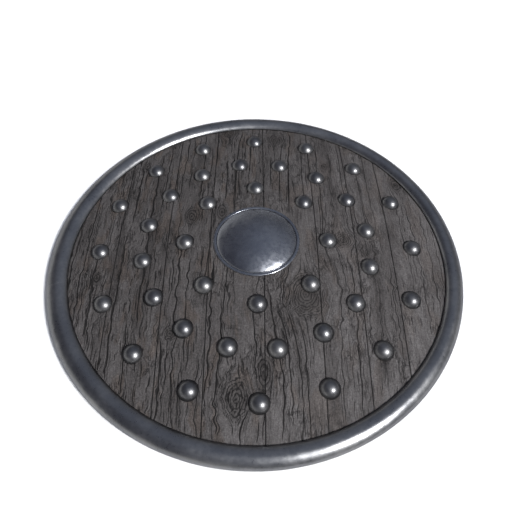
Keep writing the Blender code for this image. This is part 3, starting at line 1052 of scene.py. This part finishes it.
def make_weathered_wood():
    """Grey-brown old wood: fibres, streaks and stains on the grain; near black in cracks, knot rings and
    joints as dirt and painted shade; darker deep wood and thin curled lines as painted shade.
    """
    made, place = new_material("weathered_wood", Specular_IOR_Level=0.35)
    grain_at = place.node("ShaderNodeAttribute", {"attribute_name": "grain"}, output=1)
    cavity = place.node("ShaderNodeAttribute", {"attribute_name": "cavity"}, output=2)
    worn = place.node("ShaderNodeAttribute", {"attribute_name": "worn"}, output=2)
    near, x, y = grain_at.axis(2), place.axis(0), place.axis(1)

    def streaks(across, along, detail=3.0, roughness=0.6):
        return grain_at.stretched(1 / across, 1 / along, 0.0).cloud(1.0, detail, roughness, "2D")

    fibres, bands, stains = streaks(0.0016, 0.022, 4.0, 0.7), streaks(0.007, 0.09), streaks(0.045, 0.12)
    specks = place.cloud(330.0, 4.0, 0.75)
    curl = place.stretched(1.0, 0.38, 1.0).cloud(85.0, 3.0, 0.6)
    curled = abs(curl - 0.5).between(0.0, 0.045, 1.0, 0.0) * place.cloud(15.0).between(0.47, 0.60)
    brown = streaks(0.03, 0.09, 2.0).between(0.50, 0.66) * x.between(-0.10, 0.20, 0.8, 0.35)
    # A broad ramp lightens the wood towards the right, a little at the far left, and towards the lower right.
    side = x.between(-0.30, 0.30, 0.545, 0.64) + x.between(-0.28, -0.12, 0.05, 0.0)
    side = side + (x - y).between(0.16, 0.36, 0.0, 0.08)
    value = (fibres - 0.5) * 0.7 + (bands - 0.5) * 0.3 + (stains - 0.5) * 0.5 + (specks - 0.5) * 1.3
    # The tone drops with the depth below the face: painted shade in hollows, furrows and cracks.
    tone = brown.mix((value + side - worn * 0.12).ramp(*wood_tones), warm_filter, "MULTIPLY")
    heart = near.between(0.4, 1.3, 1.0, 0.0) * specks.between(0.3, 0.6, 0.4, 1.0)
    tone = (heart * 0.5).mix(tone, knot_heart)
    # Deep wood turns dark brown: painted shade in the hollows and furrows, with some weathered brown.
    tone = (worn.between(0.5, 1.3) * 0.35).mix(tone, worn_brown_shade)
    tone = (curled * 0.65).mix(tone, curl_shadow)
    # Cracks, knot rings and joints go near black, more on the left: partly dirt and dark wood, partly painted
    # shade in these recesses.
    tone = (cavity.between(0.12, 0.65) * x.between(-0.05, 0.15, 0.95, 0.74)).mix(tone, crack_black)
    gloss = 0.62 + (0.5 - fibres) * 0.35 + cavity * 0.2
    height = fibres * 0.5 + specks * 0.5 + bands * 0.4 - curled * 0.4
    return paint(made, Base_Color=tone, Roughness=gloss, Normal=height.bump(wood_grain_height))


wood = make_weathered_wood()
for index, plank in enumerate(planks):
    give(plank, wood, "wood", f"plank_{index + 1}")

# %% [markdown]
# ## Wood for the grip
#
# A hand has kept the grip cleaner and smoother than the face. It has the same kind of
# stretched noise, along X this time, in a warmer brown and with a soft shine.

# %% Grip wood
grip_tones = ((0.15, (0.045, 0.030, 0.020)), (0.5, (0.105, 0.072, 0.048)), (0.85, (0.170, 0.122, 0.084)))


def make_grip_wood():
    """Handled brown wood: noise stretched along X for the fibres, slow stains, a soft shine."""
    made, place = new_material("grip_wood", Specular_IOR_Level=0.4)
    fibres = place.stretched(12.0, 260.0, 260.0).cloud(1.0, 4.0, 0.6)
    value = (fibres - 0.5) * 1.1 + (place.cloud(18.0, 3.0) - 0.5) * 0.8 + 0.5
    gloss = 0.5 + (fibres - 0.5) * 0.3
    return paint(made, Base_Color=value.ramp(*grip_tones), Roughness=gloss, Normal=fibres.bump(0.0004, 0.8))


give(grip, make_grip_wood(), "grip_wood", "grip")

# %% [markdown]
# ## Floor and light
#
# The photograph has a pure white ground, a soft key light high on the right, and bright
# surroundings. The floor is one large pale sheet that is lit a little past white. A sun and
# a soft disk beside it stand for the key light. The sky gives the surroundings that the
# steel shows: bluish overhead, dark at the left, and bright low down at the left.

# %% Floor
floor_half = 60.0
floor_corners = [(-floor_half, -floor_half, 0), (floor_half, -floor_half, 0),
                 (floor_half, floor_half, 0), (-floor_half, floor_half, 0)]
floor = make_piece("floor", np.array(floor_corners), [(0, 1, 2, 3)], tidy=False)
floor.data.materials.append(new_material("floor", Base_Color=(0.92, 0.92, 0.92), Roughness=0.9)[0])
floor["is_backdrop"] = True
print("floor", 2 * floor_half, "m wide")

# %% Lights
key_way = Vector((0.52, -0.435, 0.734)).normalized()
key_distance = 4.0


def add_light(name, kind, energy, **settings):
    """A lamp in the key light's direction that looks at the shield."""
    data = bpy.data.lights.new(name, kind)
    data.energy = energy
    for key, setting in settings.items():
        setattr(data, key, setting)
    lamp = bpy.data.objects.new(name, data)
    lamp.location = key_way * key_distance
    lamp.rotation_euler = key_way.to_track_quat("Z", "Y").to_euler()
    bpy.context.scene.collection.objects.link(lamp)
    print(name, kind, energy)


add_light("key", "SUN", 3.9, angle=math.radians(12))
add_light("glow", "AREA", 18, shape="DISK", size=2.0)

# %% Sky
sky_colors = (
    (0.0, (0.34, 0.34, 0.34)), (0.35, (0.22, 0.23, 0.26)),
    (0.75, (0.28, 0.31, 0.385)), (1.0, (0.34, 0.38, 0.47)),
)
left_color, low_color = (0.10, 0.10, 0.125), (1.0, 1.0, 0.98)
sky = bpy.data.worlds.new("sky")
sky.use_nodes = True
way = Value(sky.node_tree, sky.node_tree.nodes.new("ShaderNodeTexCoord").outputs["Generated"])
height, left_side = way.axis(2), way.axis(0).between(-0.62, 0.15, 1.0, 0.0)
low_left = height.between(0.25, 0.40, 1.0, 0.0) * left_side
sky_tone = low_left.mix((left_side * 0.85).mix(height.ramp(*sky_colors), left_color), low_color)
feed(sky.node_tree, sky.node_tree.nodes["Background"].inputs["Color"], sky_tone)
bpy.context.scene.world = sky
bpy.context.scene.view_settings.view_transform = "Standard"
print("sky of", len(sky.node_tree.nodes), "nodes")
